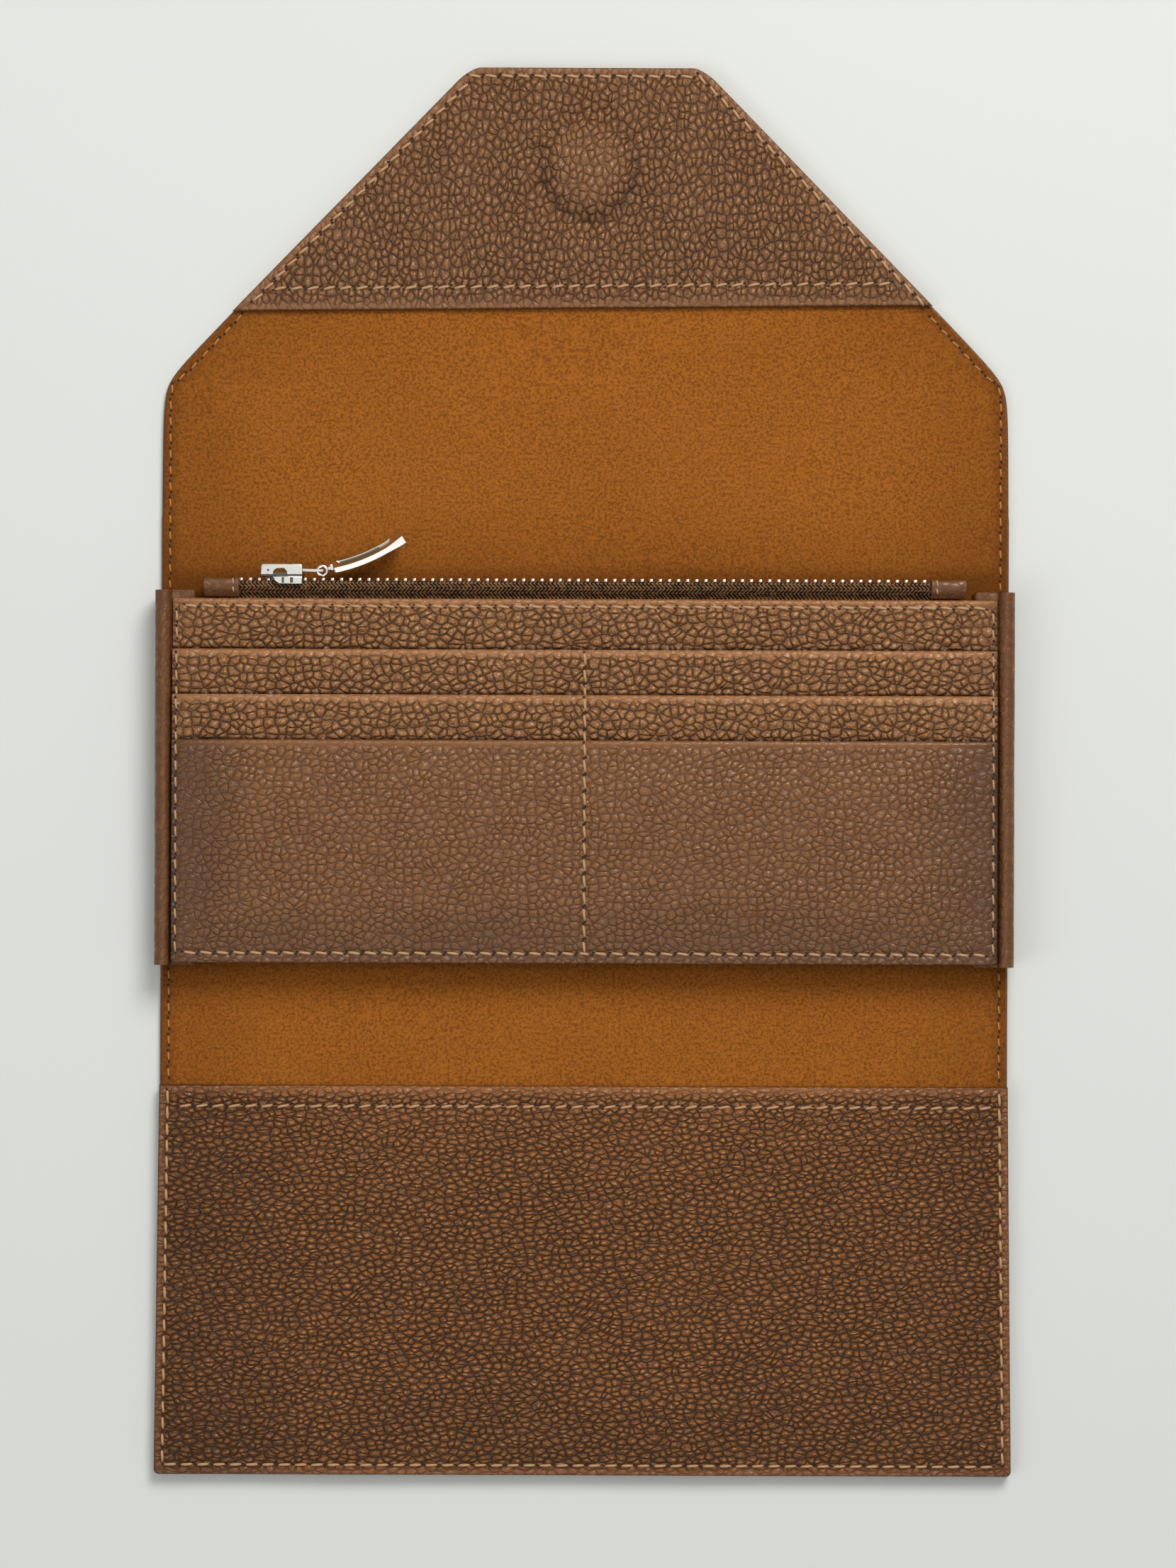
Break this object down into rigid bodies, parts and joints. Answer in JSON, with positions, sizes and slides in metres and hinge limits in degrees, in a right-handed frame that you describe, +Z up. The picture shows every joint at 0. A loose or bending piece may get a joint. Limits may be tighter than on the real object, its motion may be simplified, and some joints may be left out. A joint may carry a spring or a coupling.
{
  "type": "envelope wallet",
  "caption": "Unfolded envelope wallet: pointed magnetic flap, suede-lined leather shell, gusseted card section with a zip pocket, and a bottom pocket.",
  "frame": {"origin": "under the middle of the unfolded wallet, on the outer leather that it rests on", "axes": "+Y along the length towards the flap's tip, +X across the width to the right, +Z up out of the table, towards the open inside"},
  "size_m": [0.197, 0.3236, 0.0121],
  "materials": {
    "leather": "pebbled full grain, satin",
    "shell_leather": "pebbled full grain, satin",
    "suede": "short napped suede",
    "thread": "twisted polyester thread",
    "zip_tape": "herringbone woven tape",
    "zip_metal": "polished nickel",
    "magnet_steel": "plated steel"
  },
  "bodies": {
    "wallet": {"outer_shell": "shell_leather", "lining": "suede", "flap_facing": "leather", "flap_magnet": "magnet_steel", "striker_plate": "magnet_steel", "pocket_panel": "leather", "gusset_left": "leather", "gusset_right": "leather", "zip_pocket_back": "leather", "card_base_panel": "leather", "card_slot_upper": "leather", "card_slot_middle": "leather", "card_slot_lower": "leather", "zip_tape_front": "zip_tape", "zip_tape_back": "zip_tape", "zip_teeth_front": "zip_metal", "zip_teeth_back": "zip_metal", "zip_tab_left": "leather", "zip_tab_right": "leather", "thread_flap_edge": "thread", "thread_flap_hem": "thread", "thread_lining_upper_left": "thread", "thread_lining_upper_right": "thread", "thread_lining_lower_left": "thread", "thread_lining_lower_right": "thread", "thread_pocket_edge": "thread", "thread_pocket_hem": "thread", "thread_card_top": "thread", "thread_card_edge": "thread", "thread_card_divider": "thread"},
    "slider": {"zip_slider": "zip_metal"},
    "pull_link": {"zip_pull_link": "zip_metal"},
    "pull_bar": {"zip_pull_bar": "zip_metal"}
  },
  "joints": [
    {"name": "zip_slide", "type": "slide", "parent": "wallet", "child": "slider", "axis": [1, 0, 0], "range_m": [-0.005, 0.143]},
    {"name": "link_swing", "type": "hinge", "parent": "slider", "child": "pull_link", "pos_m": [-0.0667, 0.04585, 0.0079], "axis": [0, 0, 1], "range_deg": [-1, 100]},
    {"name": "pull_swing", "type": "hinge", "parent": "pull_link", "child": "pull_bar", "pos_m": [-0.0601, 0.0457, 0.0079], "axis": [0, 0, 1], "range_deg": [-12, 75]}
  ]
}
